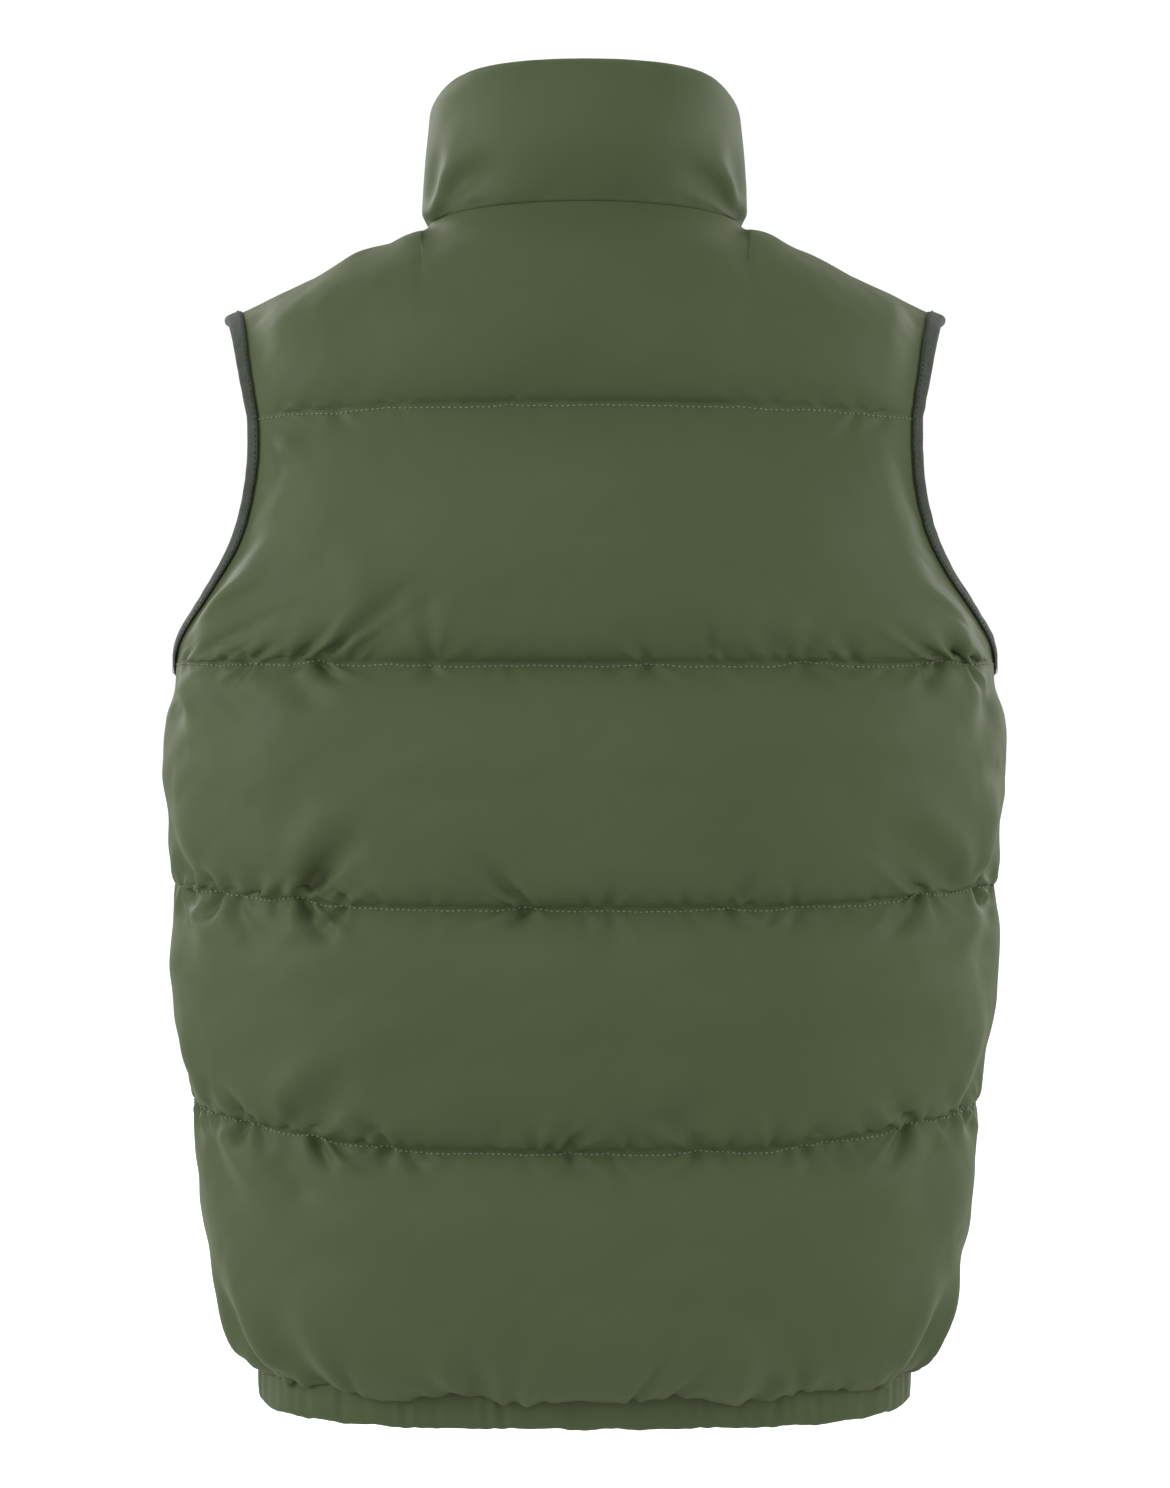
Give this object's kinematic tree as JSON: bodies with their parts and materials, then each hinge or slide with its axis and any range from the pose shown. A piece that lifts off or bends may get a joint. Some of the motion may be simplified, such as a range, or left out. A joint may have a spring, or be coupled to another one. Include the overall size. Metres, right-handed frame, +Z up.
{
  "type": "puffer vest",
  "caption": "Padded sleeveless jacket with wide quilted channels, stand collar, elastic hem band, bound armholes and a full front zip, in its worn, hollow form",
  "frame": {"origin": "inside the neck, on the centre plane, level with the collar seam at the centre back, where the wearer's shoulders and neck hold the vest", "axes": "+Z up, -Y is the wearer's front with the zip, +Y the back, +X the wearer's left"},
  "size_m": [0.479, 0.2833, 0.7596],
  "materials": {
    "shell_cloth": "olive green woven nylon, soft satin sheen",
    "binding_cloth": "dark grey-green ribbed elastic, matte",
    "zip_tape": "dark olive woven tape with moulded teeth",
    "zip_metal": "dark gunmetal paint, satin"
  },
  "bodies": {
    "garment": {"back": "shell_cloth", "front_left": "shell_cloth", "front_right": "shell_cloth", "collar": "shell_cloth", "hem_band": "shell_cloth", "binding_left": "binding_cloth", "binding_right": "binding_cloth", "zip_tape_left": "zip_tape", "zip_tape_right": "zip_tape", "zip_slider": "zip_metal", "zip_stop_left": "zip_metal", "zip_stop_right": "zip_metal", "zip_box": "zip_metal"},
    "pull_tab": {"zip_pull": "zip_metal"}
  },
  "joints": [
    {"name": "pull_tab_hinge", "type": "hinge", "parent": "garment", "child": "pull_tab", "pos_m": [0, -0.08723, 0.01052], "axis": [-1, 0, 0], "range_deg": [0, 150]}
  ]
}
